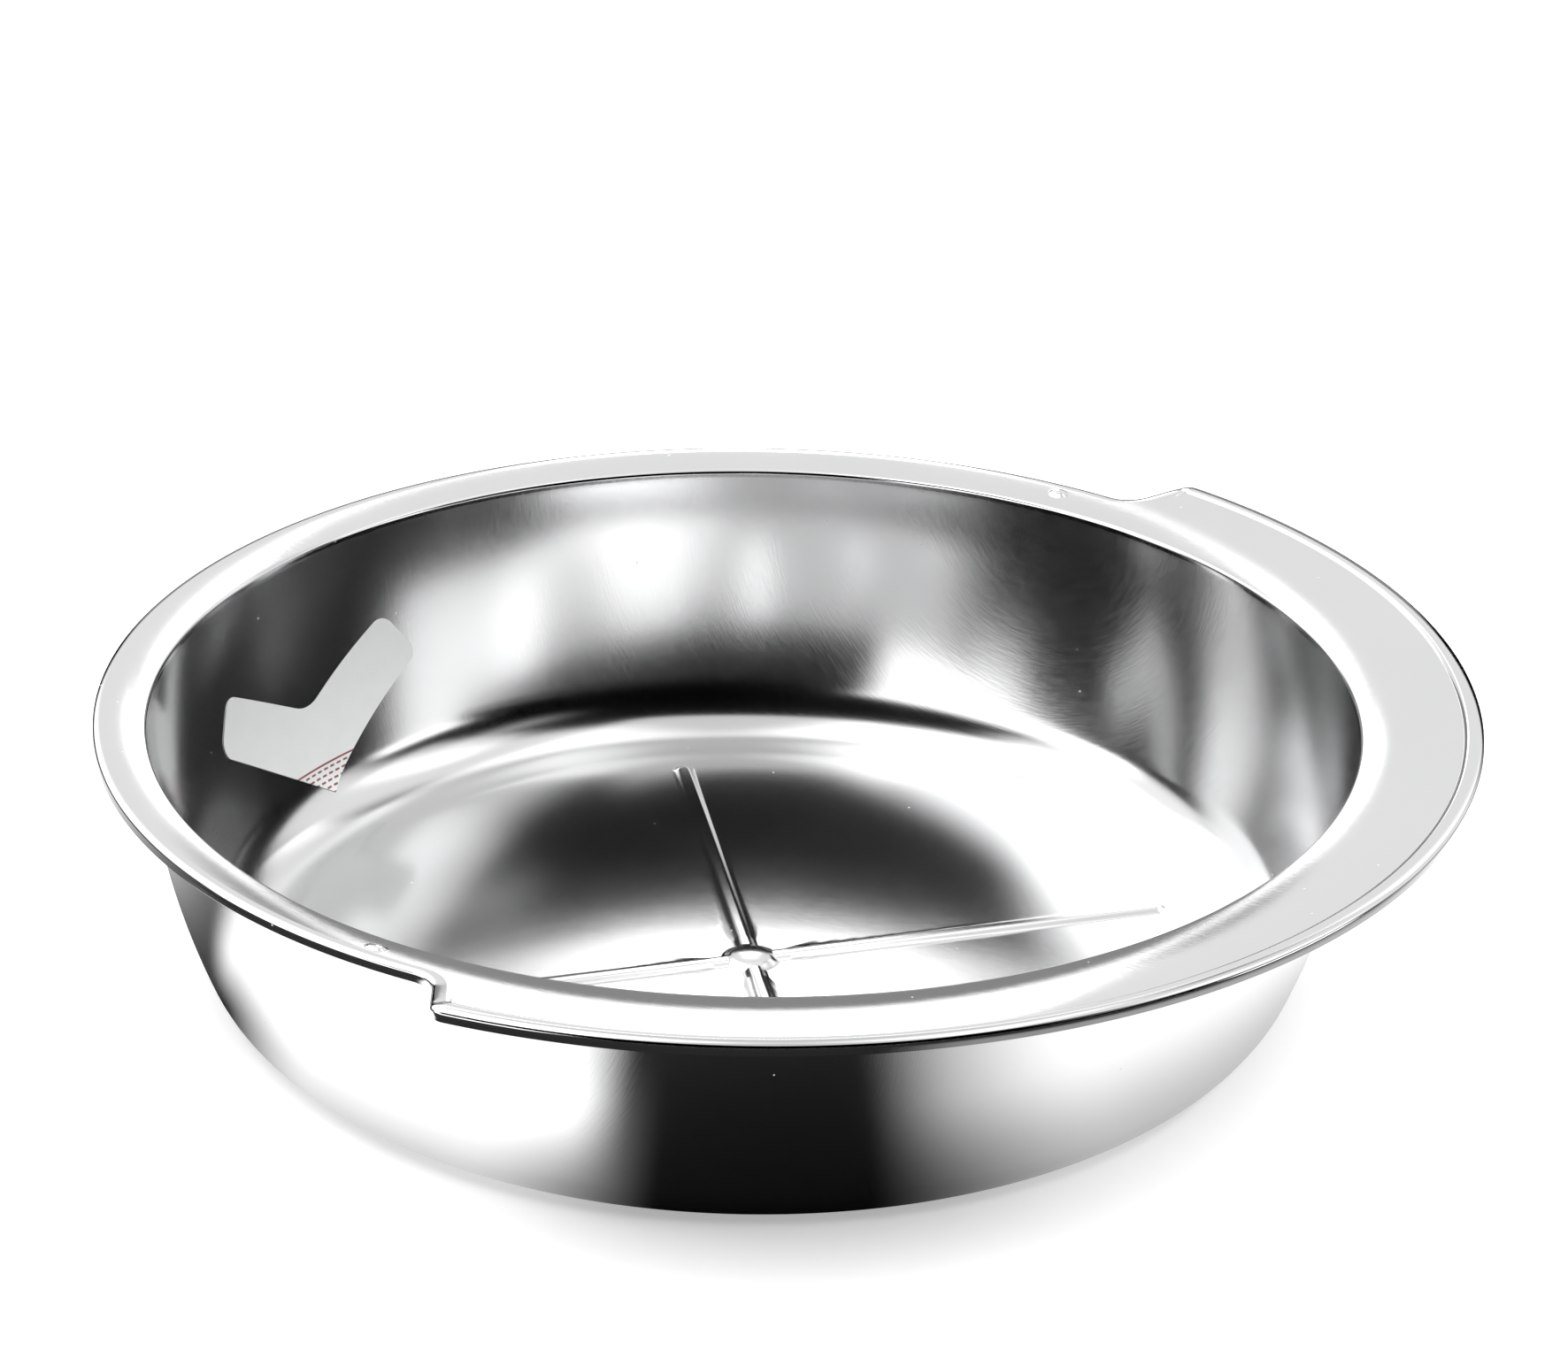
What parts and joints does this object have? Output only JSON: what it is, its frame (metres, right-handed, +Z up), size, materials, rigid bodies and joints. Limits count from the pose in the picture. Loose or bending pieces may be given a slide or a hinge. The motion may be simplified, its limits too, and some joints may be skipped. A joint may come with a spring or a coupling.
{
  "type": "soup kettle water pan",
  "caption": "Round deep-drawn steel water pan of a soup kettle, with a sloped rim flange that widens on one side, a cross pressed into the floor and a chevron fill-level sticker inside.",
  "frame": {"origin": "centre of the floor's underside, on the bowl's axis", "axes": "+Z up along the bowl's axis, +X towards the middle of the wide side of the flange, +Y across it"},
  "size_m": [0.4206, 0.4348, 0.0935],
  "materials": {
    "stainless_steel": "satin, fine polishing marks",
    "sticker_film": "matt printed film"
  },
  "bodies": {
    "root": {"water_pan": "stainless_steel", "fill_level_sticker": "sticker_film"}
  },
  "joints": []
}
